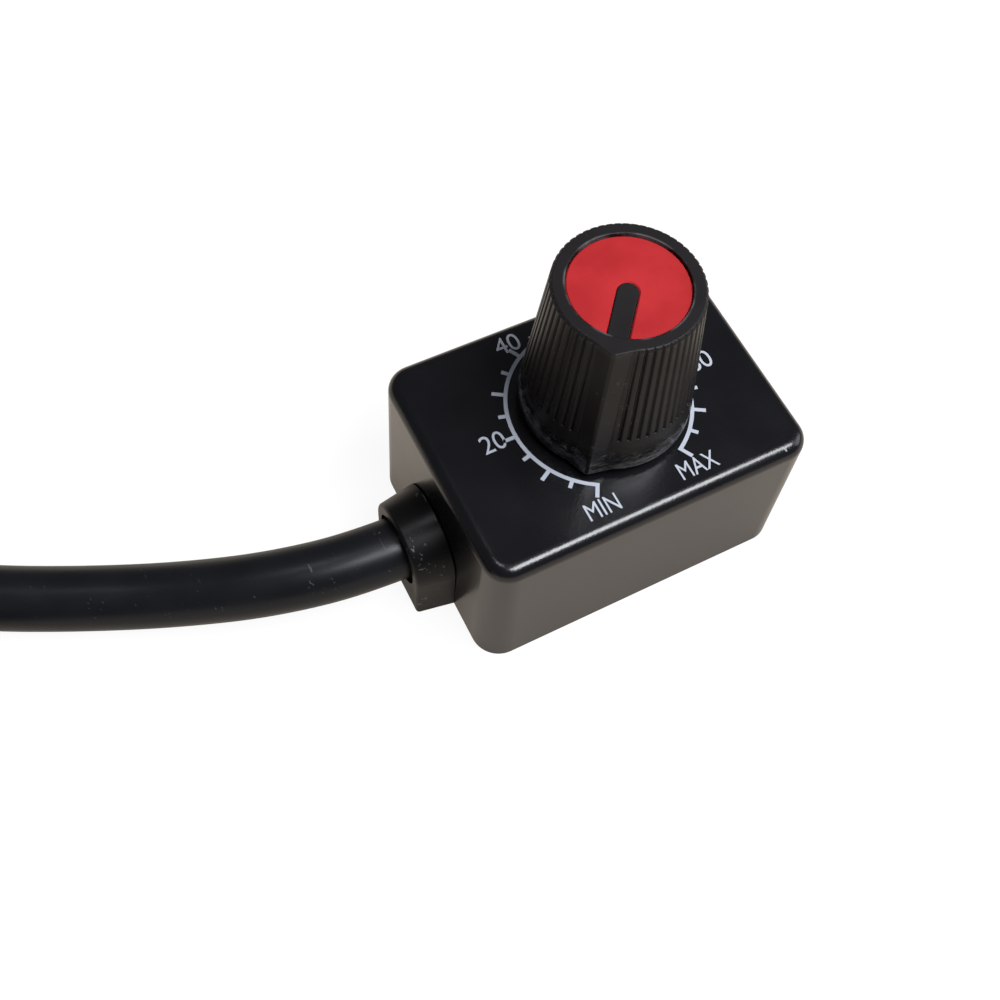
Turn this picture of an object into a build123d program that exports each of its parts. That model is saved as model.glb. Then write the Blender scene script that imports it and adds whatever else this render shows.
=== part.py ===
from build123d import *
from math import atan2, cos, degrees, hypot, pi, radians, sin, tan
import os

# Rotary dimmer: a small moulded case with a pointer knob on a 16 mm carbon potentiometer, a printed
# scale, and a round two-core cord with a barrel plug. The origin is under the middle of the case, on
# the surface it stands on. +X runs along the long side away from the cord, +Y to the back, +Z up.
# All lengths are in millimetres and all angles in degrees.

# Case
case_length = 31.6
case_width = 22.8
case_height = 16.6
case_corner = 2.6
case_draft = 0.75
top_fillet = 1.2
side_wall = 1.6
top_wall = 1.8
cover_thickness = 1.5
cover_gap = 0.1
inner_top = case_height - top_wall

# Screws that hold the cover, and their bosses
boss_radius = 1.75
boss_bite = 0.1
screw_radius = 0.85
screw_length = 6.0
screw_fit = 0.03
head_radius = 1.4
head_height = 0.75
recess_long = 1.5
recess_wide = 0.38
recess_deep = 0.5
pilot_spare = 0.6

# Knob axis, and the angle at which the pointer stands
axis_x = 0.8
axis_y = 0.6
pointer_angle = -130.0

# Printed scale
print_x = 0.3
print_y = 0.4
scale_radius = 8.13
scale_stroke = 0.34
scale_start = -120.0
scale_sweep = 300.0
scale_steps = 20
long_tick = 1.2
short_tick = 0.8
ink_thickness = 0.05

# Knob
knob_gap = 0.73
knob_height = 15.5
skirt_radius = 7.5
band_height = 1.2
knob_top_radius = 6.08
flute_start = 4.2
flute_count = 56
flute_depth = 0.22
flute_land = 0.5
rim_chamfer = 0.18
foot_chamfer = 0.2
ridge_rise = 0.5
ridge_flat = 0.3
ridge_foot = 2.1
ridge_root = 0.5
cap_radius = 4.9
cap_thickness = 1.15
cap_sink = 0.22
cap_fit = 0.05
cap_edge = 0.12
bar_width = 1.65
bar_start = 0.5
skirt_wall = 1.1
nut_space = 4.0
hub_radius = 4.4
hub_roof = 1.3
rib_count = 6
rib_thickness = 0.8
bore_spare = 0.3

# Shaft
shaft_radius = 3.0
shaft_reach = 15.0
shaft_running_gap = 0.05
spline_count = 18
spline_depth = 0.25
spline_land = 0.45
spline_length = 7.5
spline_fit = 0.02
split_width = 1.0
split_depth = 6.5
shaft_chamfer = 0.4
tail_radius = 2.4
tail_flats = 3.4
tail_fit = 0.02

# Bushing, washer and nut
bushing_radius = 3.5
bushing_length = 6.0
bushing_hole_gap = 0.1
washer_radius = 6.0
washer_thickness = 0.5
washer_inner = 4.3
tooth_count = 10
tooth_width = 1.1
nut_flats = 10.0
nut_height = 2.0
nut_chamfer = 0.3
thread_fit = 0.03

# Potentiometer
shoulder_radius = 6.0
shoulder_height = 0.6
plate_thickness = 1.0
lug_radius = 6.9
lug_depth = 1.0
lug_width = 2.0
lug_height = 0.9
lug_gap = 0.1
wafer_thickness = 1.4
wafer_gap = 0.1
lobe_reach = 10.4
lobe_half = 6.5
can_radius = 8.1
can_wall = 0.4
can_depth = 5.2
tab_width = 1.6
tab_fold = 1.4
tab_gap = 0.1
tab_angles = (40, 100, 260, 320)
track_inner = 5.8
track_outer = 7.0
track_gap_half = 28.0
track_thickness = 0.1
collector_inner = 4.6
collector_outer = 5.3
tongue_width = 1.6
clip_radius = 4.1
clip_thickness = 0.5
clip_gap = 0.07
clip_running_gap = 0.3
clip_mouth = 3.4
neck_radius = 2.4
rotor_radius = 6.3
rotor_thickness = 1.8
rotor_foot_gap = 0.8
stop_inner = 6.6
stop_half = 16.5
stop_play = 0.5
spring_thickness = 0.25
spring_width = 2.4
brush_radius = 0.4
brush_gap = 0.05

# Terminals and the wires behind them
terminal_pitch = 5.0
rivet_reach = 9.3
rivet_radius = 0.65
rivet_head = 1.0
rivet_lip = 0.2
rivet_hole = 0.35
terminal_pad = 2.0
terminal_thickness = 0.4
terminal_width = 1.8
terminal_drop = 6.4
eye_radius = 0.6
eye_up = 0.9
core_radius = 0.8
core_spread = 0.95
conductor_radius = 0.45

# Cord, its strain relief and its plug
cord_radius = 2.9
cord_height = 5.5
cord_fit = 0.05
relief_reach = 3.45
relief_half = 4.85
relief_crown = 10.5
relief_taper = 0.6
relief_groove = 0.8
relief_inset = 1.4
relief_clear = 0.2
relief_edge = 0.35
mouth_radius = 3.35
mouth_depth = 0.5
bend_share = 0.45
coil_lead = 20.0
coil_mean_radius = 29.0
tie_angle = 66.0
tie_thickness = 0.9
tie_width = 3.6
tie_clear = 0.1
tie_corner = 0.6
tie_head = 5.0
plug_grip_radius = 5.0
plug_grip_length = 15.0
plug_neck_length = 9.0
plug_neck_radius = 3.7
plug_groove_count = 4
plug_groove_width = 0.9
plug_groove_depth = 0.45
plug_edge = 0.8
barrel_radius = 2.75
barrel_length = 9.5
barrel_wall = 0.45
barrel_seat = 4.0
contact_radius = 1.05
contact_wall = 0.35
nest_gap = 0.03

# Route of the cord from inside the case to the coil, and from the coil's last turn to the plug
cord_route = [
    (-12.6, 0.0, 5.5),
    (-21.5, 0.0, 5.5),
    (-30.2, 1.75, 5.0),
    (-38.2, 5.3, 3.2),
    (-46.0, 8.75, 2.95),
    (-53.6, 12.5, 2.95),
    (-59.4, 16.4, 2.95),
]
tail_route = [
    (-88.0, 33.0, 8.7),
    (-99.6, 33.0, 9.7),
    (-110.3, 28.6, 12.6),
    (-118.4, 20.4, 15.6),
    (-122.8, 9.8, 16.65),
    (-122.8, -1.8, 16.65),
]

# Heights above the base plane
plate_top = inner_top - shoulder_height
plate_bottom = plate_top - plate_thickness
wafer_bottom = plate_bottom - wafer_thickness
track_bottom = wafer_bottom - track_thickness
can_bottom = plate_bottom - can_depth
rotor_bottom = can_bottom + can_wall + rotor_foot_gap
rotor_top = rotor_bottom + rotor_thickness
washer_top = case_height + washer_thickness
knob_bottom = case_height + knob_gap
knob_top = knob_bottom + knob_height
shaft_top = inner_top + shaft_reach
cap_floor = knob_top - cap_sink - cap_thickness
flank_slope = (skirt_radius - knob_top_radius) / (knob_height - band_height)

standing = (Align.CENTER, Align.CENTER, Align.MIN)
boss_x = case_length / 2 - side_wall - boss_radius + boss_bite
boss_y = case_width / 2 - side_wall - boss_radius + boss_bite
wall_face = -case_length / 2
relief_face = wall_face - relief_reach
knob_axis = Axis((axis_x, axis_y, 0), (0, 0, 1))
brush_angle = pointer_angle - 90


def level(height, turn=0.0):
    """A horizontal plane on the knob's axis, turned about it."""
    across = (cos(radians(turn)), sin(radians(turn)), 0)
    return Plane(origin=(axis_x, axis_y, height), x_dir=across, z_dir=(0, 0, 1))


def upright(x, y, angle=0.0):
    """A plane through a vertical line, with its own x pointing outward at the angle and its y up."""
    outward = (cos(radians(angle)), sin(radians(angle)), 0)
    return Plane(origin=(x, y, 0), x_dir=outward, z_dir=(outward[1], -outward[0], 0))


def flank(height):
    """Radius of the knob's cone at a height above the knob's foot."""
    return skirt_radius - flank_slope * (height - band_height)


def ribbed(count, crest, root, land):
    """Points of a round outline with V grooves between flat lands."""
    half = 180 / count
    points = []
    for i in range(count):
        middle = 360 * i / count
        for radius, turn in ((crest, -land * half), (crest, land * half), (root, half)):
            around = radians(middle + turn)
            points.append((radius * cos(around), radius * sin(around)))
    return points


def sector(direction, half_angle, reach):
    """Points of a wedge from the middle, wide enough for half angles up to about 45 degrees."""
    points = [(0, 0)]
    for turn in (-half_angle, 0, half_angle):
        around = radians(direction + turn)
        points.append((reach * cos(around), reach * sin(around)))
    return points


def arch(half_width, crown):
    """A door-shaped outline that stands on the base plane and ends in a half circle."""
    middle = crown - half_width
    with Locations((0, middle)):
        Circle(half_width)
    with Locations((0, middle / 2)):
        Rectangle(2 * half_width, middle)


def bend_radii(route):
    """The largest arcs that the runs beside each corner allow."""
    radii = []
    for before, here, after in zip(route, route[1:], route[2:]):
        run_in = Vector(*here) - Vector(*before)
        run_out = Vector(*after) - Vector(*here)
        half_turn = radians(run_in.get_angle(run_out) / 2)
        radii.append(bend_share * min(run_in.length, run_out.length) / tan(half_turn))
    return radii


def report_cord(name, part, length):
    """Prints a cord piece's length, and its volume against its section times its length."""
    section = pi * cord_radius**2 * length
    print(name, "length", round(length, 1), "volume share", round(part.volume / section, 4))


# Housing: an open-bottomed moulded shell with four bosses and an arched notch for the strain relief
with BuildPart() as housing_shell:
    with BuildSketch(Plane.XY):
        RectangleRounded(case_length, case_width, case_corner)
    extrude(amount=case_height, taper=case_draft)
    fillet(housing_shell.faces().sort_by(Axis.Z)[-1].edges(), top_fillet)
    with BuildSketch(Plane.XY):
        RectangleRounded(
            case_length - 2 * side_wall, case_width - 2 * side_wall, case_corner - side_wall
        )
    extrude(amount=inner_top, taper=case_draft, mode=Mode.SUBTRACT)
    with BuildSketch(Plane.XY.offset(cover_thickness)):
        with GridLocations(2 * boss_x, 2 * boss_y, 2, 2):
            Circle(boss_radius)
    extrude(amount=inner_top - cover_thickness)
    with BuildSketch(Plane.XY.offset(cover_thickness)):
        with GridLocations(2 * boss_x, 2 * boss_y, 2, 2):
            Circle(screw_radius + screw_fit)
    extrude(amount=screw_length - cover_thickness + pilot_spare, mode=Mode.SUBTRACT)
    with BuildSketch(level(inner_top)):
        Circle(bushing_radius + bushing_hole_gap)
    extrude(amount=top_wall, mode=Mode.SUBTRACT)
    with BuildSketch(level(inner_top)):
        with Locations((lug_radius, 0)):
            Rectangle(lug_depth + 2 * lug_gap, lug_width + 2 * lug_gap)
    extrude(amount=lug_height - shoulder_height + lug_gap, mode=Mode.SUBTRACT)
    with BuildSketch(Plane.YZ.offset(wall_face)):
        arch(relief_half - relief_groove + cord_fit, relief_crown - relief_groove + cord_fit)
    extrude(amount=side_wall + relief_clear, mode=Mode.SUBTRACT)

# Base cover: a flat plate inside the walls, screwed to the bosses
with BuildPart() as base_cover:
    with BuildSketch(Plane.XY):
        RectangleRounded(
            case_length - 2 * (side_wall + cover_gap),
            case_width - 2 * (side_wall + cover_gap),
            case_corner - side_wall,
        )
    extrude(amount=cover_thickness)
    with Locations(Plane(origin=(0, 0, 0), z_dir=(0, 0, -1))):
        with GridLocations(2 * boss_x, 2 * boss_y, 2, 2):
            CounterSinkHole(
                radius=screw_radius + screw_fit,
                counter_sink_radius=head_radius + screw_fit,
                depth=cover_thickness,
                counter_sink_angle=2 * degrees(atan2(head_radius - screw_radius, head_height)),
            )

# Four self-tapping screws with cross recesses
with BuildPart() as cover_screws:
    with GridLocations(2 * boss_x, 2 * boss_y, 2, 2):
        Cone(head_radius, screw_radius, head_height, align=standing)
        Cylinder(screw_radius, screw_length, align=standing)
        Box(recess_long, recess_wide, recess_deep, align=standing, mode=Mode.SUBTRACT)
        Box(recess_wide, recess_long, recess_deep, align=standing, mode=Mode.SUBTRACT)

# Printed scale: an arc of 300 degrees with a tick at each twentieth of it
with BuildPart() as scale_print:
    with BuildSketch(Plane((print_x, print_y, case_height))):
        Circle(scale_radius + scale_stroke / 2)
        Circle(scale_radius - scale_stroke / 2, mode=Mode.SUBTRACT)
        dead_half = (360 - scale_sweep) / 2
        Polygon(*sector(-90, dead_half, 2 * scale_radius), align=None, mode=Mode.SUBTRACT)
        for step in range(scale_steps + 1):
            reach = long_tick if step % 2 == 0 else short_tick
            turn = scale_start - step * scale_sweep / scale_steps
            middle = scale_radius + reach / 2 - scale_stroke / 4
            spot = (middle * cos(radians(turn)), middle * sin(radians(turn)))
            with Locations(Location((*spot, 0), (0, 0, turn))):
                Rectangle(reach + scale_stroke / 2, scale_stroke)
    extrude(amount=ink_thickness)

# Bushing plate: the threaded bushing, its shoulder and the round plate are one casting
with BuildPart() as bushing_plate:
    with BuildSketch(level(plate_bottom)):
        Circle(can_radius)
        for tab in tab_angles:
            spot = (can_radius * cos(radians(tab)), can_radius * sin(radians(tab)), 0)
            with Locations(Location(spot, (0, 0, tab))):
                Rectangle(2 * (can_wall + tab_gap), tab_width + 2 * tab_gap, mode=Mode.SUBTRACT)
    extrude(amount=plate_thickness)
    with BuildSketch(level(plate_top)):
        Circle(shoulder_radius)
    extrude(amount=shoulder_height)
    with BuildSketch(level(plate_top)):
        Circle(bushing_radius)
    extrude(amount=shoulder_height + bushing_length)
    with BuildSketch(level(plate_top)):
        with Locations((lug_radius, 0)):
            Rectangle(lug_depth, lug_width)
    extrude(amount=lug_height)
    with BuildSketch(level(plate_bottom)):
        Circle(shaft_radius + shaft_running_gap)
    extrude(
        amount=plate_thickness + shoulder_height + bushing_length,
        mode=Mode.SUBTRACT,
    )

# Toothed lock washer on the case
with BuildPart() as lock_washer:
    with BuildSketch(level(case_height)):
        Circle(washer_radius)
        Circle(washer_inner, mode=Mode.SUBTRACT)
        tooth_reach = washer_inner - bushing_radius
        with PolarLocations(bushing_radius + bushing_hole_gap + tooth_reach / 2, tooth_count):
            Rectangle(tooth_reach, tooth_width)
    extrude(amount=washer_thickness)

# Hexagon nut on the bushing
with BuildPart() as bushing_nut:
    with BuildSketch(level(washer_top)):
        RegularPolygon(nut_flats / 2, 6, major_radius=False)
    extrude(amount=nut_height)
    chamfer(bushing_nut.faces().sort_by(Axis.Z)[-1].edges(), nut_chamfer)
    with BuildSketch(level(washer_top)):
        Circle(bushing_radius + thread_fit)
    extrude(amount=nut_height, mode=Mode.SUBTRACT)

# Resistor wafer with the lobe that carries the terminals
wafer_radius = can_radius - can_wall - wafer_gap
rivet_places = [(-rivet_reach, y) for y in (-terminal_pitch, 0, terminal_pitch)]
with BuildPart() as resistor_wafer:
    with BuildSketch(level(wafer_bottom)):
        Circle(wafer_radius)
        Rectangle(lobe_reach, 2 * lobe_half, align=(Align.MAX, Align.CENTER))
        Circle(clip_radius + clip_running_gap, mode=Mode.SUBTRACT)
        with Locations(*rivet_places):
            Circle(rivet_radius + nest_gap, mode=Mode.SUBTRACT)
    extrude(amount=wafer_thickness)

# Carbon track: a printed horseshoe with tongues to the outer terminals
with BuildPart() as carbon_track:
    with BuildSketch(level(track_bottom)):
        Circle(track_outer)
        Circle(track_inner, mode=Mode.SUBTRACT)
        Polygon(*sector(180, track_gap_half, 2 * track_outer), align=None, mode=Mode.SUBTRACT)
        track_middle = (track_inner + track_outer) / 2
        for side in (-1, 1):
            end_turn = radians(180 - side * (track_gap_half + degrees(tongue_width / 2 / track_middle)))
            end_x = track_middle * cos(end_turn)
            end_y = track_middle * sin(end_turn)
            run_x = -rivet_reach - end_x
            run_y = side * terminal_pitch - end_y
            middle = (end_x + run_x / 2, end_y + run_y / 2, 0)
            with Locations(Location(middle, (0, 0, degrees(atan2(run_y, run_x))))):
                Rectangle(hypot(run_x, run_y), tongue_width)
        with Locations(*rivet_places):
            Circle(rivet_radius + nest_gap, mode=Mode.SUBTRACT)
    extrude(amount=track_thickness)

# Collector ring with its tongue to the middle terminal
with BuildPart() as collector_ring:
    with BuildSketch(level(track_bottom)):
        Circle(collector_outer)
        Circle(collector_inner, mode=Mode.SUBTRACT)
        with Locations((-collector_inner, 0)):
            Rectangle(
                rivet_reach + rivet_head - collector_inner,
                tongue_width,
                align=(Align.MAX, Align.CENTER),
            )
        with Locations((-rivet_reach, 0)):
            Circle(rivet_radius + nest_gap, mode=Mode.SUBTRACT)
    extrude(amount=track_thickness)

# Three soldering terminals, bent down outside the can, each with an eye at its end
terminals = {}
for name, place in zip(("terminal_front", "terminal_middle", "terminal_back"), rivet_places):
    with BuildPart() as terminal:
        with BuildSketch(level(track_bottom - terminal_thickness)):
            with Locations((-lobe_reach - terminal_thickness, place[1])):
                Rectangle(
                    terminal_pad + terminal_thickness,
                    terminal_width,
                    align=(Align.MIN, Align.CENTER),
                )
            with Locations(place):
                Circle(rivet_radius + nest_gap, mode=Mode.SUBTRACT)
        extrude(amount=terminal_thickness)
        with BuildSketch(level(track_bottom - terminal_drop)):
            with Locations((-lobe_reach - terminal_thickness, place[1])):
                Rectangle(terminal_thickness, terminal_width, align=(Align.MIN, Align.CENTER))
        extrude(amount=terminal_drop)
        fillet(
            terminal.faces().sort_by(Axis.Z)[0].edges().filter_by(Axis.X)
            + terminal.edges().filter_by(Axis.X).group_by(Axis.Z)[0],
            terminal_width / 2.5,
        )
        eye_height = track_bottom - terminal_drop + eye_up
        with BuildSketch(Plane.YZ.offset(axis_x - lobe_reach - terminal_thickness)):
            with Locations((axis_y + place[1], eye_height)):
                Circle(eye_radius)
        extrude(amount=terminal_thickness, mode=Mode.SUBTRACT)
    terminals[name] = terminal

# Hollow rivets through the terminals and the wafer
with BuildPart() as terminal_rivets:
    rivet_foot = track_bottom - terminal_thickness - rivet_lip
    with BuildSketch(level(rivet_foot)):
        with Locations(*rivet_places):
            Circle(rivet_head)
    extrude(amount=rivet_lip)
    with BuildSketch(level(rivet_foot)):
        with Locations(*rivet_places):
            Circle(rivet_radius)
    extrude(amount=plate_bottom + rivet_lip - rivet_foot)
    with BuildSketch(level(plate_bottom)):
        with Locations(*rivet_places):
            Circle(rivet_head)
    extrude(amount=rivet_lip)
    with BuildSketch(level(rivet_foot)):
        with Locations(*rivet_places):
            Circle(rivet_hole)
    extrude(amount=plate_bottom + rivet_lip - rivet_foot, mode=Mode.SUBTRACT)

# Potentiometer can: a drawn steel cup with four folded tabs, open beside the lobe, and an end stop
with BuildPart() as pot_can:
    with BuildSketch(level(can_bottom)):
        Circle(can_radius)
    extrude(amount=can_depth)
    fillet(pot_can.faces().sort_by(Axis.Z)[0].edges(), can_wall)
    with BuildSketch(level(can_bottom + can_wall)):
        Circle(can_radius - can_wall)
    extrude(amount=can_depth, mode=Mode.SUBTRACT)
    with BuildSketch(level(can_bottom + can_wall)):
        Circle(can_radius - can_wall / 2)
        Circle(stop_inner, mode=Mode.SUBTRACT)
        Polygon(*sector(-90, stop_half, 2 * can_radius), align=None, mode=Mode.INTERSECT)
    extrude(amount=rotor_top - can_bottom - can_wall)
    window_foot = track_bottom - terminal_thickness - rivet_lip - wafer_gap
    with BuildSketch(level(window_foot)):
        Rectangle(
            lobe_reach, 2 * (lobe_half + wafer_gap), align=(Align.MAX, Align.CENTER)
        )
    extrude(amount=plate_bottom - window_foot, mode=Mode.SUBTRACT)
    for height, inward, rise in (
        (plate_bottom, can_wall, plate_thickness + can_wall),
        (plate_top, tab_fold, can_wall),
    ):
        with BuildSketch(level(height)):
            for tab in tab_angles:
                outer = can_radius - can_wall / 4
                spot = (outer * cos(radians(tab)), outer * sin(radians(tab)), 0)
                with Locations(Location(spot, (0, 0, tab))):
                    Rectangle(inward, tab_width, align=(Align.MAX, Align.CENTER))
        extrude(amount=rise)

# Shaft: turned, with a neck for the clip, a flatted tail in the rotor and a split splined end
clip_bottom = plate_bottom - clip_gap - clip_thickness
with BuildPart() as shaft:
    with BuildSketch(level(rotor_bottom)):
        Circle(tail_radius)
        Rectangle(2 * tail_radius, tail_flats, mode=Mode.INTERSECT)
    extrude(amount=rotor_thickness)
    with BuildSketch(level(rotor_top)):
        Circle(shaft_radius)
    extrude(amount=clip_bottom - clip_gap - rotor_top)
    with BuildSketch(level(clip_bottom - clip_gap)):
        Circle(neck_radius)
    extrude(amount=plate_bottom - clip_bottom + clip_gap)
    with BuildSketch(level(plate_bottom)):
        Circle(shaft_radius)
    extrude(amount=shaft_top - spline_length - plate_bottom)
    with BuildSketch(level(shaft_top - spline_length)):
        Polygon(
            *ribbed(spline_count, shaft_radius, shaft_radius - spline_depth, spline_land),
            align=None,
        )
    extrude(amount=spline_length)
    with BuildSketch(upright(axis_x, axis_y)):
        with BuildLine():
            Polyline(
                (shaft_radius - shaft_chamfer, shaft_top),
                (shaft_radius + shaft_chamfer, shaft_top),
                (shaft_radius + shaft_chamfer, shaft_top - 2 * shaft_chamfer),
                close=True,
            )
        make_face()
    revolve(axis=knob_axis, mode=Mode.SUBTRACT)
    with BuildSketch(level(shaft_top, pointer_angle)):
        Rectangle(4 * shaft_radius, split_width)
    extrude(amount=-split_depth, mode=Mode.SUBTRACT)

# Retaining clip in the shaft's neck
with BuildPart() as shaft_clip:
    with BuildSketch(level(clip_bottom, brush_angle)):
        Circle(clip_radius)
        Circle(neck_radius + spline_fit, mode=Mode.SUBTRACT)
        Rectangle(
            2 * clip_radius, clip_mouth, align=(Align.MIN, Align.CENTER), mode=Mode.SUBTRACT
        )
    extrude(amount=clip_thickness)

# Wiper rotor with the lug that meets the can's stop at both ends of the travel
lug_half = (360 - scale_sweep) / 2 - stop_half - stop_play
with BuildPart() as wiper_rotor:
    with BuildSketch(level(rotor_bottom)):
        Circle(can_radius - can_wall - clip_running_gap)
        Polygon(*sector(pointer_angle, lug_half, 2 * can_radius), align=None, mode=Mode.INTERSECT)
        Circle(rotor_radius)
        with BuildSketch(mode=Mode.SUBTRACT):
            Circle(tail_radius + tail_fit)
            Rectangle(4 * tail_radius, tail_flats + 2 * tail_fit, mode=Mode.INTERSECT)
    extrude(amount=rotor_thickness)

# Wiper spring: a stamped arm with two brushes, one on the track and one on the collector ring
with BuildPart() as wiper_spring:
    with BuildSketch(level(rotor_top, brush_angle)):
        Circle(clip_radius)
        with Locations((clip_radius, 0)):
            Rectangle(2 * (track_outer - clip_radius), spring_width)
        Circle(shaft_radius + nest_gap, mode=Mode.SUBTRACT)
    extrude(amount=spring_thickness)
    with BuildSketch(level(rotor_top, brush_angle)):
        with Locations(((collector_inner + collector_outer) / 2, 0), (track_middle, 0)):
            Circle(brush_radius)
    extrude(amount=track_bottom - brush_gap - rotor_top)

# Knob: a drafted and fluted cone over a plain band, with a raised pointer, hollow under its skirt
with BuildPart() as knob_body:
    with BuildSketch(upright(axis_x, axis_y)):
        with BuildLine():
            Polyline(
                (0, knob_bottom),
                (skirt_radius - foot_chamfer, knob_bottom),
                (skirt_radius, knob_bottom + foot_chamfer),
                (skirt_radius, knob_bottom + band_height),
                (flank(flute_start), knob_bottom + flute_start),
                (0, knob_bottom + flute_start),
                close=True,
            )
        make_face()
    revolve(axis=knob_axis)
    for height in (flute_start, knob_height):
        crest = flank(height)
        with BuildSketch(level(knob_bottom + height, pointer_angle)):
            Polygon(*ribbed(flute_count, crest, crest - flute_depth, flute_land), align=None)
    loft(ruled=True)
    with BuildSketch(upright(axis_x, axis_y)):
        with BuildLine():
            Polyline(
                (knob_top_radius - rim_chamfer, knob_top),
                (knob_top_radius + rim_chamfer, knob_top),
                (knob_top_radius + rim_chamfer, knob_top - 2 * rim_chamfer),
                close=True,
            )
        make_face()
    revolve(axis=knob_axis, mode=Mode.SUBTRACT)
    for height in (0, knob_height):
        face = flank(height)
        slope = (ridge_foot - ridge_flat) / 2 / ridge_rise
        root_half = ridge_foot / 2 + slope * ridge_root
        with BuildSketch(level(knob_bottom + height, pointer_angle)):
            Polygon(
                (face - ridge_root, -root_half),
                (face + ridge_rise, -ridge_flat / 2),
                (face + ridge_rise, ridge_flat / 2),
                (face - ridge_root, root_half),
                align=None,
            )
    loft(ruled=True)
    hollow_top = cap_floor - hub_roof
    hollow_radius = flank(hollow_top - knob_bottom) - flute_depth - skirt_wall
    with BuildPart(mode=Mode.SUBTRACT):
        with BuildSketch(upright(axis_x, axis_y)):
            with BuildLine():
                Polyline(
                    (0, knob_bottom),
                    (skirt_radius - skirt_wall, knob_bottom),
                    (hollow_radius, hollow_top),
                    (hub_radius, hollow_top),
                    (hub_radius, knob_bottom + nut_space),
                    (0, knob_bottom + nut_space),
                    close=True,
                )
            make_face()
        revolve(axis=knob_axis)
        with BuildSketch(level(knob_bottom + nut_space)):
            with PolarLocations(0, rib_count):
                Rectangle(skirt_radius, rib_thickness, align=(Align.MIN, Align.CENTER))
        extrude(amount=knob_height, mode=Mode.SUBTRACT)
    bore_step = shaft_top - spline_length + bore_spare
    with BuildSketch(level(bore_step)):
        Circle(shaft_radius + spline_fit)
    extrude(amount=knob_bottom + nut_space - bore_step, mode=Mode.SUBTRACT)
    with BuildSketch(level(knob_bottom + nut_space)):
        Polygon(
            *ribbed(
                spline_count,
                shaft_radius + spline_fit,
                shaft_radius + spline_fit - spline_depth,
                spline_land + spline_fit,
            ),
            align=None,
        )
    extrude(amount=shaft_top + bore_spare - knob_bottom - nut_space, mode=Mode.SUBTRACT)
    with BuildSketch(level(cap_floor)):
        Circle(cap_radius + cap_fit)
    extrude(amount=cap_thickness + cap_sink, mode=Mode.SUBTRACT)
    with BuildSketch(level(cap_floor, pointer_angle)):
        with Locations((bar_start, 0)):
            Circle(bar_width / 2)
            Rectangle(
                cap_radius - bar_start + skirt_wall / 4, bar_width, align=(Align.MIN, Align.CENTER)
            )
    extrude(amount=cap_thickness)

# Coloured cap, slotted for the indicator bar
with BuildPart() as knob_cap:
    with BuildSketch(level(cap_floor, pointer_angle)):
        Circle(cap_radius)
        with Locations((bar_start, 0)):
            Circle(bar_width / 2 + cap_fit, mode=Mode.SUBTRACT)
            Rectangle(
                2 * cap_radius,
                bar_width + 2 * cap_fit,
                align=(Align.MIN, Align.CENTER),
                mode=Mode.SUBTRACT,
            )
    extrude(amount=cap_thickness)
    chamfer(knob_cap.faces().sort_by(Axis.Z)[-1].edges(), cap_edge)

# Strain relief: an arched block outside the wall, a neck in the notch and a flange inside
relief_plane = Plane.YZ.offset
with BuildPart() as strain_relief:
    with BuildSketch(relief_plane(relief_face)):
        arch(relief_half - relief_taper, relief_crown - relief_taper)
    with BuildSketch(relief_plane(wall_face)):
        arch(relief_half, relief_crown)
    loft(ruled=True)
    outer_rim = strain_relief.faces().sort_by(Axis.X)[0].edges().sort_by(Axis.Z)[1:]
    fillet(outer_rim, relief_edge)
    with BuildSketch(relief_plane(wall_face)):
        arch(relief_half - relief_groove, relief_crown - relief_groove)
    extrude(amount=side_wall + relief_clear)
    with BuildSketch(relief_plane(wall_face + side_wall + relief_clear)):
        arch(relief_half, relief_crown)
    extrude(amount=relief_inset)
    with BuildSketch(relief_plane(wall_face + side_wall)):
        Rectangle(4 * relief_half, 2 * cover_thickness)
    extrude(amount=relief_clear + relief_inset, mode=Mode.SUBTRACT)
    with BuildSketch(relief_plane(relief_face)):
        with Locations((0, cord_height)):
            Circle(cord_radius + cord_fit)
    extrude(
        amount=relief_reach + side_wall + relief_clear + relief_inset,
        mode=Mode.SUBTRACT,
    )
    with BuildSketch(relief_plane(relief_face)):
        with Locations((0, cord_height)):
            Circle(mouth_radius)
    extrude(amount=mouth_depth, mode=Mode.SUBTRACT)

# Cord from inside the case to the coil
cord_radii = bend_radii(cord_route)
with BuildPart() as cord_tube:
    with BuildLine() as cord_path:
        FilletPolyline(*cord_route, radius=cord_radii)
    with BuildSketch(Plane(origin=cord_path.line @ 0, z_dir=cord_path.line % 0)):
        Circle(cord_radius)
    sweep()

# Cores from the jacket's end to the middle and front terminals, with their bare ends in the eyes
eye_x = axis_x - lobe_reach - terminal_thickness
cores = {}
for name, place, side in (("core_wire_middle", 0, 1), ("core_wire_front", -terminal_pitch, -1)):
    jacket_end = Vector(*cord_route[0])
    start = jacket_end + Vector(0, side * core_spread, 0)
    eye = Vector(eye_x, axis_y + place, eye_height)
    stem = (eye_x - jacket_end.X) / 3
    with BuildPart() as core:
        with BuildLine() as core_path:
            FilletPolyline(
                start,
                start + Vector(stem, 0, 0),
                eye - Vector(stem, 0, 0),
                eye - Vector(nest_gap, 0, 0),
                radius=stem / 2,
            )
        with BuildSketch(Plane(origin=start, z_dir=(1, 0, 0))):
            Circle(core_radius)
        sweep()
        with BuildSketch(Plane(origin=eye - Vector(nest_gap, 0, 0), z_dir=(1, 0, 0))):
            Circle(conductor_radius)
        extrude(amount=2 * terminal_thickness)
    cores[name] = core

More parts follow.
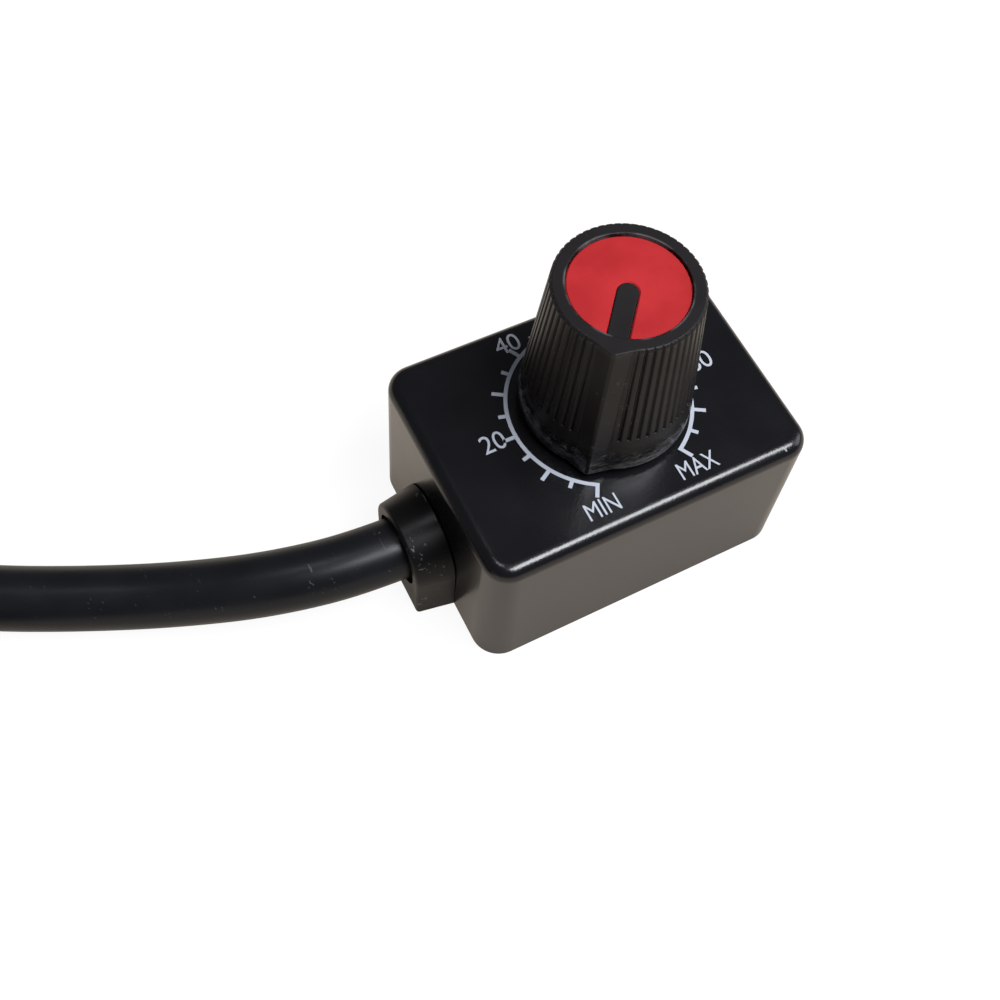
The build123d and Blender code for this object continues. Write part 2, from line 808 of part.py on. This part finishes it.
# Coil of the cord's spare length: one closed solid two turns wide and two high, with a straight lead
# that takes the tube's end face
cord_diameter = 2 * cord_radius
lead_in = Vector(*cord_route[-1])
heading = (lead_in - Vector(*cord_route[-2])).normalized()
leftward = Vector(-heading.Y, heading.X, 0)
outer_turn = coil_mean_radius + cord_radius
coil_centre = lead_in + heading * coil_lead + leftward * outer_turn
with BuildPart() as cord_coil:
    with BuildSketch(upright(coil_centre.X, coil_centre.Y)):
        with Locations((coil_mean_radius, cord_diameter)):
            RectangleRounded(2 * cord_diameter, 2 * cord_diameter, 0.95 * cord_radius)
    revolve(axis=Axis((coil_centre.X, coil_centre.Y, 0), (0, 0, 1)))
    with BuildSketch(Plane(origin=lead_in, z_dir=heading)):
        Circle(cord_radius)
    extrude(amount=coil_lead)
    with BuildSketch(upright(coil_centre.X, coil_centre.Y, tie_angle)):
        with Locations((coil_mean_radius, 0)):
            Rectangle(4 * cord_diameter, 2 * (tie_thickness + tie_clear))
    extrude(amount=tie_width / 2 + tie_clear, both=True, mode=Mode.SUBTRACT)

# Tie round the coil, a plain band with a square head on its top
with BuildPart() as coil_tie:
    band_width = 2 * (cord_diameter + tie_clear)
    band_height_in = 2 * cord_diameter + tie_clear
    with BuildSketch(upright(coil_centre.X, coil_centre.Y, tie_angle)):
        with Locations((coil_mean_radius, tie_thickness + band_height_in / 2)):
            RectangleRounded(
                band_width + 2 * tie_thickness,
                band_height_in + 2 * tie_thickness,
                tie_corner + tie_thickness,
            )
            RectangleRounded(band_width, band_height_in, tie_corner, mode=Mode.SUBTRACT)
    extrude(amount=tie_width / 2, both=True)
    tie_top = 2 * tie_thickness + band_height_in
    head_plane = Plane(
        origin=(coil_centre.X, coil_centre.Y, tie_top - tie_thickness / 2),
        x_dir=(cos(radians(tie_angle)), sin(radians(tie_angle)), 0),
        z_dir=(0, 0, 1),
    )
    with BuildSketch(head_plane):
        with Locations((coil_mean_radius, 0)):
            RectangleRounded(tie_head, tie_head, tie_thickness)
    extrude(amount=tie_head / 2)

# Tail: it rises out of the coil's last turn and lies across the coil to the plug
tail_radii = bend_radii(tail_route)
with BuildPart() as cord_tail:
    with BuildLine() as tail_path:
        FilletPolyline(*tail_route, radius=tail_radii)
    with BuildSketch(Plane(origin=tail_path.line @ 0, z_dir=tail_path.line % 0)):
        Circle(cord_radius)
    sweep()

# Plug overmould: a tapered and grooved neck, then a round grip, turned about the plug's axis
plug_start = Vector(*tail_route[-1])
plug_forward = (plug_start - Vector(*tail_route[-2])).normalized()
plug_side = Plane(origin=plug_start, x_dir=plug_forward, z_dir=(plug_forward.Y, -plug_forward.X, 0))
plug_axis = Axis(plug_start, plug_forward)
plug_face = plug_neck_length + plug_grip_length
with BuildPart() as plug_overmould:
    with BuildSketch(plug_side):
        with BuildLine():
            Polyline(
                (0, 0),
                (0, plug_neck_radius),
                (plug_neck_length, plug_grip_radius - plug_edge),
                (plug_neck_length + plug_edge, plug_grip_radius),
                (plug_face - plug_edge, plug_grip_radius),
                (plug_face, plug_grip_radius - plug_edge),
                (plug_face, 0),
                close=True,
            )
        make_face()
        pitch = plug_neck_length / plug_groove_count
        for ring in range(plug_groove_count):
            along = pitch * (ring + 0.5)
            rise = (plug_grip_radius - plug_edge - plug_neck_radius) / plug_neck_length
            with Locations((along, plug_neck_radius + rise * along)):
                Rectangle(plug_groove_width, 2 * plug_groove_depth, mode=Mode.SUBTRACT)
    revolve(axis=plug_axis)
    with BuildSketch(Plane(origin=plug_start + plug_forward * plug_face, z_dir=-plug_forward)):
        Circle(barrel_radius + nest_gap)
    extrude(amount=barrel_seat + nest_gap, mode=Mode.SUBTRACT)

# Barrel contacts: the outer sleeve, the insulator inside it and the inner tube
sleeve_bore = barrel_radius - barrel_wall
tube_radius = contact_radius + contact_wall
barrel_parts = {}
for name, outer, bore, reach in (
    ("plug_sleeve", barrel_radius, sleeve_bore, barrel_length),
    ("plug_insulator", sleeve_bore - nest_gap, tube_radius + nest_gap, barrel_length),
    ("plug_contact", tube_radius, contact_radius, barrel_length - contact_wall),
):
    with BuildPart() as barrel_part:
        back = plug_start + plug_forward * (plug_face - barrel_seat)
        with BuildSketch(Plane(origin=back, z_dir=plug_forward)):
            Circle(outer)
            Circle(bore, mode=Mode.SUBTRACT)
        extrude(amount=barrel_seat + reach)
    barrel_parts[name] = barrel_part

named = {
    "housing_shell": housing_shell,
    "base_cover": base_cover,
    "cover_screws": cover_screws,
    "scale_print": scale_print,
    "bushing_plate": bushing_plate,
    "lock_washer": lock_washer,
    "bushing_nut": bushing_nut,
    "resistor_wafer": resistor_wafer,
    "carbon_track": carbon_track,
    "collector_ring": collector_ring,
    **terminals,
    "terminal_rivets": terminal_rivets,
    "pot_can": pot_can,
    "shaft": shaft,
    "shaft_clip": shaft_clip,
    "wiper_rotor": wiper_rotor,
    "wiper_spring": wiper_spring,
    "knob_body": knob_body,
    "knob_cap": knob_cap,
    "strain_relief": strain_relief,
    **cores,
    "cord_tube": cord_tube,
    "cord_coil": cord_coil,
    "coil_tie": coil_tie,
    "cord_tail": cord_tail,
    "plug_overmould": plug_overmould,
    **barrel_parts,
}

os.makedirs("parts", exist_ok=True)
for name, piece in named.items():
    piece.part.label = name
    export_step(piece.part, f"parts/{name}.step")

print("cord radii", [round(radius, 1) for radius in cord_radii])
print("tail radii", [round(radius, 1) for radius in tail_radii])
report_cord("cord_tube", cord_tube.part, cord_path.wires()[0].length)
report_cord("cord_tail", cord_tail.part, tail_path.wires()[0].length)
print("coil centre", round(coil_centre.X, 2), round(coil_centre.Y, 2))
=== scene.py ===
import math

import bpy
from mathutils import Matrix, Vector


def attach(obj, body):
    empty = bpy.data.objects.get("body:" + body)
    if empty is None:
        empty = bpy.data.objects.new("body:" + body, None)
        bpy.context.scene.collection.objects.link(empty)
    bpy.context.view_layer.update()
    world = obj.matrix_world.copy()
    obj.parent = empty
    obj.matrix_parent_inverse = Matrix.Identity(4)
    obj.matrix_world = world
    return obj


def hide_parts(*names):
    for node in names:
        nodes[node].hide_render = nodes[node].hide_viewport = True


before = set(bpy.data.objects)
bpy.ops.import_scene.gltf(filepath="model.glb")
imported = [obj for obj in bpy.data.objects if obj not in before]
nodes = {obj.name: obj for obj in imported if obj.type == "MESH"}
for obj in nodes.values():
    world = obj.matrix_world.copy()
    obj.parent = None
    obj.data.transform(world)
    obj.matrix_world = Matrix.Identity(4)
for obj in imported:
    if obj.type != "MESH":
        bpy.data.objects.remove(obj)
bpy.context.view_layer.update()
scene = bpy.context.scene

MM = 0.001
CASE_TOP = 16.6 * MM
KNOB_AXIS = (0.8 * MM, 0.6 * MM, 0)


# Camera, solved from the case's edges and the dial's ticks
def make_camera():
    data = bpy.data.cameras.new("camera")
    data.sensor_width = 36.0
    data.lens = 45.991
    data.shift_x = -0.037944
    data.shift_y = -0.022887
    data.clip_start = 0.005
    camera = bpy.data.objects.new("camera", data)
    right = Vector((0.88241, -0.4637, 0.07955))
    up = Vector((0.37509, 0.79545, 0.476))
    back = Vector((-0.284, -0.39019, 0.87584))
    place = Matrix((right, up, back)).transposed().to_4x4()
    place.translation = Vector((-38.195, -45.426, 109.926)) * MM
    camera.matrix_world = place
    scene.collection.objects.link(camera)
    scene.camera = camera


make_camera()

# Cord: from inside the strain relief along the surface to the coil, round it, and over it to the plug.
# Its sizes are in millimetres and degrees, and its crossings in turns from the coil's start.
CORD_RADIUS = 2.9
COIL_CENTRE = Vector((-93.80, 1.09, 0))
OUTER_TURN = 31.9
INNER_TURN = 26.1
LOW = 2.95
HIGH = 8.7
COIL_START = 56.08
COIL_END = 3.05
GOES_IN = (0.625, 1.0)
CLIMBS = (1.375, 1.625)
GOES_OUT = (2.08, 2.45)
TIE_ANGLE = 66.0
TIE_LIFT = 0.9
TIE_LIFT_FADES = (8, 45)
TURN_STEPS = 16
STEP = 360 / TURN_STEPS
route = [
    (-12.6, 0.0, 5.5),
    (-21.5, 0.0, 5.5),
    (-30.2, 1.75, 5.0),
    (-38.2, 5.3, 3.2),
    (-46.0, 8.75, 2.95),
    (-53.6, 12.5, 2.95),
    (-59.4, 16.4, 2.95),
    (-67.7, 22.0, 2.95),
]
tail = [
    (-88.0, 33.0, 8.7),
    (-99.6, 33.0, 9.7),
    (-110.3, 28.6, 12.6),
    (-118.4, 20.4, 15.6),
    (-122.8, 9.8, 16.65),
    (-122.8, -1.8, 16.65),
    (-122.8, -5.8, 16.65),
]


def eased(value, start, end):
    """0 before start, 1 after end and a smooth rise between them."""
    share = min(max((value - start) / (end - start), 0.0), 1.0)
    return share * share * (3 - 2 * share)


def coil_point(turns):
    """A point of the coil after that many turns: two wide and two high, in, up and out again."""
    inward = eased(turns, *GOES_IN) - eased(turns, *GOES_OUT)
    radius = OUTER_TURN + (INNER_TURN - OUTER_TURN) * inward
    height = LOW + (HIGH - LOW) * eased(turns, *CLIMBS)
    around = COIL_START + 360 * turns
    off_tie = abs((around - TIE_ANGLE + 180) % 360 - 180)
    height += TIE_LIFT * (1 - eased(off_tie, *TIE_LIFT_FADES))
    reach = radius / math.cos(math.radians(STEP / 2))
    spoke = Vector((math.cos(math.radians(around)), math.sin(math.radians(around)), 0))
    return COIL_CENTRE + spoke * reach + Vector((0, 0, height))


def make_cord():
    points = [Vector(p) for p in route]
    turns = 0.5 / TURN_STEPS
    while turns < COIL_END:
        points.append(coil_point(turns))
        turns += 1 / TURN_STEPS
    points += [Vector(p) for p in tail]
    curve = bpy.data.curves.new("cord", "CURVE")
    curve.dimensions = "3D"
    curve.resolution_u = 10
    curve.bevel_depth = CORD_RADIUS * MM
    curve.bevel_resolution = 8
    curve.use_fill_caps = True
    spline = curve.splines.new("NURBS")
    spline.points.add(len(points) - 1)
    for slot, point in zip(spline.points, points):
        slot.co = (*(point * MM), 1)
    spline.order_u = 3
    spline.use_endpoint_u = True
    cord = bpy.data.objects.new("cord", curve)
    scene.collection.objects.link(cord)
    return cord


cord = make_cord()


# Small helpers for node materials
def put(tree, kind, sockets=None, **settings):
    """Adds a node, sets its properties, and links or sets its sockets."""
    node = tree.nodes.new(kind)
    for name, value in settings.items():
        setattr(node, name, value)
    for name, value in (sockets or {}).items():
        if isinstance(value, bpy.types.NodeSocket):
            tree.links.new(value, node.inputs[name])
        else:
            node.inputs[name].default_value = value
    return node


def math_node(tree, operation, a, b=0.0, clamp=False):
    node = put(tree, "ShaderNodeMath", {0: a, 1: b}, operation=operation, use_clamp=clamp)
    return node.outputs[0]


def noise(tree, where, scale, detail=2.0, stretch=None):
    if stretch:
        where = put(tree, "ShaderNodeMapping", {"Vector": where, "Scale": stretch}).outputs[0]
    sockets = {"Vector": where, "Scale": scale, "Detail": detail}
    return put(tree, "ShaderNodeTexNoise", sockets).outputs["Fac"]


def span(tree, value, low, high, to_low=0.0, to_high=1.0):
    sockets = {"Value": value, "From Min": low, "From Max": high, "To Min": to_low, "To Max": to_high}
    return put(tree, "ShaderNodeMapRange", sockets).outputs["Result"]


def mixed(tree, share, a, b):
    node = put(tree, "ShaderNodeMix", {0: share, 6: a, 7: b}, data_type="RGBA")
    return node.outputs[2]


def specks(tree, where, scale, largest, share):
    """Uneven specks of many sizes in a share of the cells."""
    bent = put(tree, "ShaderNodeTexNoise", {"Vector": where, "Scale": scale * 3.0, "Detail": 1.0})
    sockets = {0: bent.outputs["Color"], "Scale": 0.5 / scale}
    offset = put(tree, "ShaderNodeVectorMath", sockets, operation="SCALE")
    moved = put(tree, "ShaderNodeVectorMath", {0: where, 1: offset.outputs[0]}, operation="ADD").outputs[0]
    cells = put(tree, "ShaderNodeTexVoronoi", {"Vector": moved, "Scale": scale})
    chance = put(tree, "ShaderNodeSeparateColor", {"Color": cells.outputs["Color"]})
    size = math_node(tree, "MULTIPLY", math_node(tree, "POWER", chance.outputs[1], 2.5), largest)
    inside = math_node(tree, "LESS_THAN", cells.outputs["Distance"], size)
    chosen = math_node(tree, "LESS_THAN", chance.outputs[0], share)
    strength = span(tree, chance.outputs[2], 0, 1, 0.25, 1.0)
    return math_node(tree, "MULTIPLY", math_node(tree, "MULTIPLY", inside, chosen), strength)


def scratches(tree, where, scale, turn, share):
    """Thin short marks that run one way."""
    sockets = {"Vector": where, "Rotation": turn, "Scale": (1, 0.06, 1)}
    along = put(tree, "ShaderNodeMapping", sockets).outputs[0]
    marks = noise(tree, along, scale, 1.0)
    lines = span(tree, marks, share, share + 0.03)
    patches = noise(tree, where, scale * 0.12, 1.0)
    return math_node(tree, "MULTIPLY", lines, span(tree, patches, 0.55, 0.68), clamp=True)


def start(name):
    material = bpy.data.materials.new(name)
    material.use_nodes = True
    tree = material.node_tree
    where = put(tree, "ShaderNodeTexCoord").outputs["Object"]
    return material, tree, tree.nodes["Principled BSDF"], where


PALE_DUST = (0.35, 0.36, 0.38)
GREY_DUST = (0.10, 0.10, 0.11)
WORN_FADE = 0.8


def plastic(
    name,
    color,
    rough,
    grain=0.004,
    shine=0.5,
    patchy=0.06,
    dust=0.0,
    marks=0.0,
    worn=None,
    tint=PALE_DUST,
):
    """Moulded plastic with a fine grain and patchy gloss.

    dust and marks are the shares of specks and scratches, drawn in the tint, and worn is the
    height in millimetres below which the surface is scuffed and uneven.
    """
    material, tree, shader, where = start(name)
    shader.inputs["Specular IOR Level"].default_value = shine
    patches = noise(tree, where, 260, 3)
    fine = noise(tree, where, 4500, 2)
    gloss = span(tree, patches, 0.3, 0.7, rough - patchy, rough + patchy)
    body = mixed(tree, span(tree, patches, 0.35, 0.65), (*[c * 0.85 for c in color], 1), (*color, 1))
    if dust:
        body = mixed(tree, specks(tree, where, 700, 0.17, dust), body, (*tint, 1))
    if marks:
        lines = scratches(tree, where, 3800, (0.3, 0.5, 0.6), 1 - marks)
        body = mixed(tree, math_node(tree, "MULTIPLY", lines, 0.5), body, (*tint, 1))
        gloss = math_node(tree, "ADD", gloss, math_node(tree, "MULTIPLY", lines, 0.25))
    relief = math_node(tree, "MULTIPLY", fine, grain)
    if worn:
        z = put(tree, "ShaderNodeSeparateXYZ", {"Vector": where}).outputs[2]
        low = span(tree, z, worn * MM, (worn - WORN_FADE) * MM)
        wear_and_highlight_spots = noise(tree, where, 1300, 5)
        scuffs = math_node(tree, "MULTIPLY", low, span(tree, wear_and_highlight_spots, 0.55, 0.72), clamp=True)
        body = mixed(tree, math_node(tree, "MULTIPLY", scuffs, 0.14), body, (*tint, 1))
        gloss = math_node(tree, "SUBTRACT", gloss, math_node(tree, "MULTIPLY", low, 0.16))
        uneven = math_node(tree, "MULTIPLY", math_node(tree, "MULTIPLY", wear_and_highlight_spots, low), 0.12)
        relief = math_node(tree, "ADD", relief, uneven)
    tree.links.new(gloss, shader.inputs["Roughness"])
    tree.links.new(body, shader.inputs["Base Color"])
    bump = put(tree, "ShaderNodeBump", {"Height": relief, "Distance": MM, "Strength": 1.0})
    tree.links.new(bump.outputs[0], shader.inputs["Normal"])
    return material


def metal(name, color, rough, stretch=(1, 1, 12)):
    material, tree, shader, where = start(name)
    shader.inputs["Metallic"].default_value = 1.0
    lines = noise(tree, where, 2500, 2, stretch)
    tree.links.new(span(tree, lines, 0.3, 0.7, rough - 0.07, rough + 0.07), shader.inputs["Roughness"])
    tone = mixed(tree, span(tree, lines, 0.3, 0.7), (*[c * 0.88 for c in color], 1), (*color, 1))
    tree.links.new(tone, shader.inputs["Base Color"])
    bump = put(tree, "ShaderNodeBump", {"Height": lines, "Distance": 0.003 * MM})
    tree.links.new(bump.outputs[0], shader.inputs["Normal"])
    return material


# Knob, in millimetres: the scuffed band at its foot, its soft edges, its flat rim, painted paler as
# painted light, and the cap's lip, which carries a painted highlight
SKIRT_TOP = 20.4
SOFT_EDGE = 0.16
RIM_FROM = 32.2
RIM_TO = 32.5
LIP_INSIDE = (4.80, 4.86)
LIP_OUTSIDE = (5.12, 4.95)
# Painted light: the flat top of the rim gets a paler colour than the same plastic elsewhere.
PAINTED_RIM_LIGHT = (0.0130, 0.0115, 0.0120, 1)
# Painted highlight: a pale ring on the lip round the cap.
PAINTED_LIP_HIGHLIGHT = (0.16, 0.16, 0.17, 1)


def knob_plastic():
    """The knob's plastic: soft edges, a flat rim painted paler as painted light, and a painted highlight
    on the lip round the cap.
    """
    material = plastic(
        "knob",
        (0.0058, 0.0050, 0.0049),
        0.38,
        shine=0.22,
        dust=0.05,
        marks=0.34,
        tint=(0.10, 0.10, 0.10),
        worn=SKIRT_TOP,
    )
    tree = material.node_tree
    shader = tree.nodes["Principled BSDF"]
    bump = shader.inputs["Normal"].links[0].from_node
    bevel = put(tree, "ShaderNodeBevel", {"Radius": SOFT_EDGE * MM}, samples=6)
    tree.links.new(bevel.outputs[0], bump.inputs["Normal"])
    where = put(tree, "ShaderNodeTexCoord").outputs["Object"]
    flat = put(tree, "ShaderNodeVectorMath", {0: where, 1: KNOB_AXIS}, operation="SUBTRACT")
    flat = put(tree, "ShaderNodeVectorMath", {0: flat.outputs[0], 1: (1, 1, 0)}, operation="MULTIPLY")
    radius = put(tree, "ShaderNodeVectorMath", {0: flat.outputs[0]}, operation="LENGTH").outputs["Value"]
    z = put(tree, "ShaderNodeSeparateXYZ", {"Vector": where}).outputs[2]
    top = span(tree, z, RIM_FROM * MM, RIM_TO * MM)
    # Painted highlight: a pale, patchy ring where the cap meets the rim.
    outer = span(tree, radius, *[r * MM for r in LIP_OUTSIDE])
    inner = span(tree, radius, *[r * MM for r in LIP_INSIDE])
    lip = math_node(tree, "MULTIPLY", outer, inner)
    wear_and_highlight_spots = span(tree, noise(tree, where, 500, 3), 0.42, 0.62)
    lip = math_node(tree, "MULTIPLY", math_node(tree, "MULTIPLY", lip, wear_and_highlight_spots), 0.7)
    body = shader.inputs["Base Color"].links[0].from_socket
    # Painted light: the flat top rim is made paler.
    body = mixed(tree, top, body, PAINTED_RIM_LIGHT)
    body = mixed(tree, math_node(tree, "MULTIPLY", lip, top), body, PAINTED_LIP_HIGHLIGHT)
    tree.links.new(body, shader.inputs["Base Color"])
    return material


# Looks of the CAD nodes by name, and of the cord
looks = {
    "housing_shell": plastic("case", (0.0050, 0.0050, 0.0064), 0.22, grain=0.010, patchy=0.015, dust=0.12),
    "base_cover": plastic("cover", (0.010, 0.010, 0.011), 0.45, grain=0.01),
    "cover_screws": metal("screw_zinc", (0.55, 0.55, 0.53), 0.32),
    "scale_print": plastic("ink", (0.46, 0.49, 0.56), 0.5),
    "bushing_plate": metal("bushing", (0.62, 0.60, 0.52), 0.30),
    "lock_washer": metal("washer_zinc", (0.55, 0.55, 0.52), 0.35),
    "bushing_nut": metal("nut", (0.62, 0.60, 0.52), 0.28),
    "resistor_wafer": plastic("wafer", (0.22, 0.11, 0.05), 0.5),
    "carbon_track": plastic("carbon", (0.02, 0.02, 0.02), 0.6),
    "collector_ring": metal("silver", (0.7, 0.7, 0.68), 0.35),
    "pot_can": metal("can", (0.6, 0.6, 0.58), 0.3),
    "shaft": metal("shaft", (0.7, 0.7, 0.7), 0.28),
    "shaft_clip": metal("clip", (0.5, 0.5, 0.48), 0.35),
    "wiper_rotor": plastic("rotor", (0.72, 0.7, 0.62), 0.45),
    "wiper_spring": metal("spring", (0.66, 0.45, 0.22), 0.3),
    "knob_body": knob_plastic(),
    "knob_cap": plastic("cap", (0.43, 0.021, 0.024), 0.42, shine=0.22),
    "strain_relief": plastic("relief", (0.0045, 0.0043, 0.0045), 0.34, shine=0.18, dust=0.06, marks=0.36),
    "core_wire_middle": plastic("core_red", (0.5, 0.03, 0.02), 0.4),
    "core_wire_front": plastic("core_black", (0.015, 0.015, 0.015), 0.4),
    "coil_tie": plastic("tie", (0.012, 0.012, 0.012), 0.38),
    "plug_overmould": plastic("plug", (0.012, 0.012, 0.014), 0.36),
    "plug_sleeve": metal("sleeve", (0.72, 0.70, 0.66), 0.2),
    "plug_insulator": plastic("insulator", (0.015, 0.015, 0.015), 0.4),
    "plug_contact": metal("contact", (0.75, 0.7, 0.6), 0.22),
}
tinned = metal("tinned", (0.68, 0.66, 0.6), 0.32)
for name in ("terminal_front", "terminal_middle", "terminal_back", "terminal_rivets"):
    looks[name] = tinned
jacket = plastic(
    "jacket",
    (0.0080, 0.0084, 0.0104),
    0.33,
    shine=0.22,
    patchy=0.03,
    dust=0.06,
    marks=0.30,
    tint=GREY_DUST,
)
SHARP_EDGE = math.radians(28)


def dress(obj, material):
    obj.data.materials.clear()
    obj.data.materials.append(material)


for name, material in looks.items():
    mesh = nodes[name].data
    dress(nodes[name], material)
    mesh.shade_smooth()
    mesh.set_sharp_from_angle(angle=SHARP_EDGE)
dress(cord, jacket)

# Labels of the dial in plain capitals and figures: the text, its centre and its size in millimetres
PRINT_LIFT = 0.04 * MM
dial = {
    "label_min": ("MIN", -4.4, -8.73, 3.0, 1.58),
    "label_max": ("MAX", 4.85, -8.7, 3.65, 1.6),
    "label_20": ("20", -9.85, 0.6, 2.15, 1.75),
    "label_40": ("40", -4.2, 9.0, 2.3, 1.75),
    "label_60": ("60", 4.8, 9.0, 2.3, 1.75),
    "label_80": ("80", 10.5, 0.3, 2.3, 1.75),
}


def label(name, text, x, y, width, height):
    curve = bpy.data.curves.new(name, "FONT")
    curve.body = text
    curve.size = 1.0
    curve.align_x = "CENTER"
    curve.align_y = "CENTER"
    obj = bpy.data.objects.new(name, curve)
    scene.collection.objects.link(obj)
    bpy.context.view_layer.update()
    curve.extrude = 0.01
    obj.scale = (width * MM / obj.dimensions.x, height * MM / obj.dimensions.y, MM)
    obj.location = (x * MM, y * MM, CASE_TOP + PRINT_LIFT)
    dress(obj, looks["scale_print"])
    return obj


labels = [label(name, *place) for name, place in dial.items()]

# What rides on what
for piece in labels:
    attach(piece, "case")
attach(cord, "case")
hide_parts("cord_tube", "cord_coil", "cord_tail")


# Floor, light and world. The floor is white to the camera and keeps a faint shadow; to glossy rays it
# glows as a painted warm reflection, with painted shade darker close to the object.
FLOOR_REACH = 3
FLOOR_DROP = 0.05 * MM
PAINTED_SHADE_REACH = 8 * MM


def make_floor():
    mesh = bpy.data.meshes.new("floor")
    corners = [(x * FLOOR_REACH, y * FLOOR_REACH, 0) for x, y in ((-1, -1), (1, -1), (1, 1), (-1, 1))]
    mesh.from_pydata(corners, [], [(0, 1, 2, 3)])
    floor = bpy.data.objects.new("floor", mesh)
    floor.location.z = -FLOOR_DROP
    scene.collection.objects.link(floor)
    material = bpy.data.materials.new("floor")
    material.use_nodes = True
    tree = material.node_tree
    tree.nodes.clear()
    path = put(tree, "ShaderNodeLightPath")
    diffuse = put(tree, "ShaderNodeBsdfDiffuse", {"Color": (0.8, 0.79, 0.77, 1)})
    seen = put(tree, "ShaderNodeEmission", {"Color": (1, 1, 1, 1), "Strength": 1.05})
    # Painted shade: ambient occlusion darkens the floor's reflected glow close to the object.
    near = put(tree, "ShaderNodeAmbientOcclusion", {"Distance": PAINTED_SHADE_REACH}, samples=6)
    painted_shade_depth = span(tree, near.outputs["AO"], 0.0, 1.0, 0.25, 1.0)
    # Painted reflection: glossy rays see the floor as a warm glow, not as its white.
    painted_reflection = put(tree, "ShaderNodeEmission", {"Color": (0.78, 0.68, 0.58, 1), "Strength": painted_shade_depth})
    share = math_node(tree, "MULTIPLY", path.outputs["Is Camera Ray"], 0.88)
    first = put(tree, "ShaderNodeMixShader", {0: share, 1: diffuse.outputs[0], 2: seen.outputs[0]})
    glossy = math_node(tree, "MULTIPLY", path.outputs["Is Glossy Ray"], 0.9)
    second = put(tree, "ShaderNodeMixShader", {0: glossy, 1: first.outputs[0], 2: painted_reflection.outputs[0]})
    put(tree, "ShaderNodeOutputMaterial", {"Surface": second.outputs[0]})
    mesh.materials.append(material)


LAMP_DISTANCE = 0.5
LAMP_TARGET = Vector((0, 0, 0.02))
LAMP_COLOR = (0.94, 0.96, 1.0)


def lamp(name, direction, power, width, height):
    data = bpy.data.lights.new(name, "AREA")
    data.shape = "RECTANGLE"
    data.size = width
    data.size_y = height
    data.energy = power
    data.color = LAMP_COLOR
    obj = bpy.data.objects.new(name, data)
    away = Vector(direction).normalized()
    obj.location = LAMP_TARGET + away * LAMP_DISTANCE
    obj.rotation_euler = away.to_track_quat("Z", "Y").to_euler()
    scene.collection.objects.link(obj)


def make_world():
    world = bpy.data.worlds.new("studio")
    scene.world = world
    world.use_nodes = True
    tree = world.node_tree
    tree.nodes.clear()
    where = put(tree, "ShaderNodeTexCoord").outputs["Generated"]
    height = put(tree, "ShaderNodeSeparateXYZ", {"Vector": where}).outputs["Z"]
    level = span(tree, height, 0.0, 0.8, 0.12, 0.09)
    air = put(tree, "ShaderNodeBackground", {"Color": (0.92, 0.95, 1.0, 1), "Strength": level})
    white = put(tree, "ShaderNodeBackground", {"Color": (1, 1, 1, 1), "Strength": 1.0})
    path = put(tree, "ShaderNodeLightPath")
    sockets = {0: path.outputs["Is Camera Ray"], 1: air.outputs[0], 2: white.outputs[0]}
    mix = put(tree, "ShaderNodeMixShader", sockets)
    put(tree, "ShaderNodeOutputWorld", {"Surface": mix.outputs[0]})


make_floor()
make_world()
lamp("top_softbox", (0.26, -0.33, 0.91), 3.6, 0.36, 0.16)
lamp("corner_softbox", (-0.16, 0.12, 0.98), 0.2, 0.10, 0.06)
lamp("right_softbox", (0.85, -0.25, 0.46), 0.5, 0.25, 0.25)

scene.view_settings.view_transform = "Standard"
